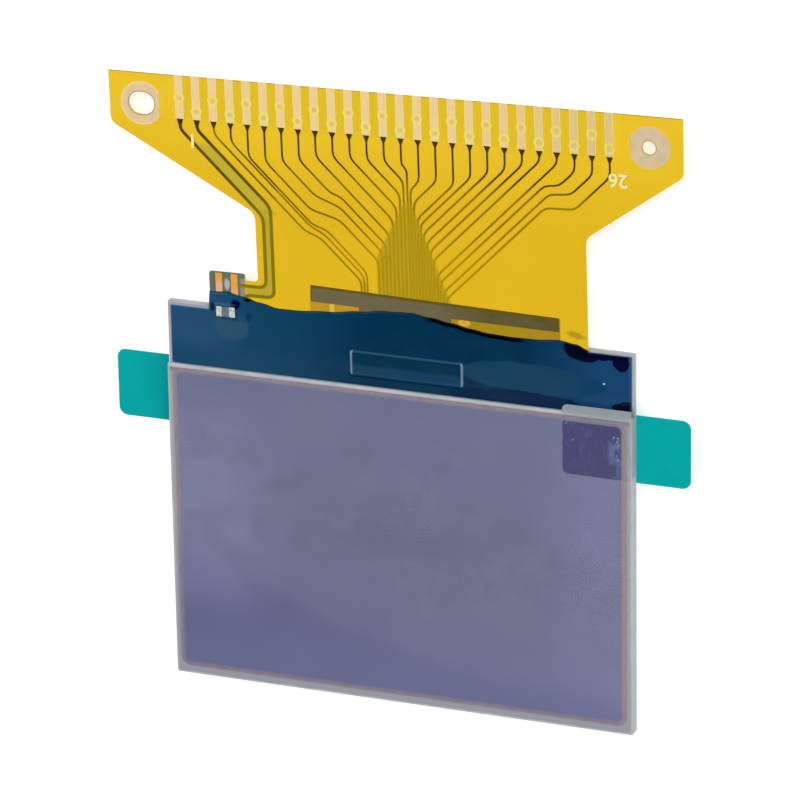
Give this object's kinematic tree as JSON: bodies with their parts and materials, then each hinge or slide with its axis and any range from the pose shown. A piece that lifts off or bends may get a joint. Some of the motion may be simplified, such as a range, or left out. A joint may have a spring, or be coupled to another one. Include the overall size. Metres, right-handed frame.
{
  "type": "instrument cluster lcd screen",
  "caption": "Flat glass display module with a blue coated contact ledge, a wide yellow flex tail with a terminal row, and two teal pull tabs on its protective films.",
  "frame": {"origin": "on the rear face of the rear protective film, under the centre of the front glass", "axes": "+Z out of the picture side, +Y from the display towards the flex tail, +X to the viewer's right"},
  "size_m": [0.0686, 0.073, 0.0021],
  "materials": {
    "clear_film": "glossy clear polyester film",
    "reflector": "semi-matt silvery reflector behind a polarizer",
    "glass": "clear float glass with ground edges",
    "seal": "cured epoxy, bronze",
    "liquid_crystal": "dark violet grey layer",
    "polarizer": "violet grey, glossy",
    "clear_tape": "clear tape",
    "teal_film": "satin teal film",
    "silicon": "polished silicon",
    "bond_film": "milky conductive adhesive",
    "blue_coating": "glossy blue silicone",
    "polyimide": "amber polyimide film",
    "coverlay": "yellow polyimide cover film",
    "copper": "etched copper under film",
    "plating": "satin gold flash over nickel",
    "fingers": "fine tinned fingers, olive grey",
    "bare_copper": "bare copper",
    "chip_body": "ceramic under coating",
    "solder": "bright tin solder"
  },
  "bodies": {
    "root": {"rear_protective_film": "clear_film", "rear_polarizer": "reflector", "rear_glass": "glass", "perimeter_seal": "seal", "liquid_crystal": "liquid_crystal", "end_seal": "seal", "front_glass": "glass", "front_polarizer": "polarizer", "front_protective_film": "clear_film", "front_pull_tape": "clear_tape", "front_pull_grip": "teal_film", "rear_pull_tape": "clear_tape", "rear_pull_grip": "teal_film", "driver_die": "silicon", "die_bond_film": "bond_film", "flex_bond_film": "bond_film", "ledge_coating": "blue_coating", "flex_base_film": "polyimide", "flex_coverlay": "coverlay", "flex_traces": "copper", "terminal_pads": "plating", "slotted_ring_pad": "plating", "round_ring_pad": "plating", "bond_finger_strip": "fingers", "sensor_strips": "bare_copper", "sensor_chip": "chip_body", "sensor_end_caps": "solder"}
  },
  "joints": []
}
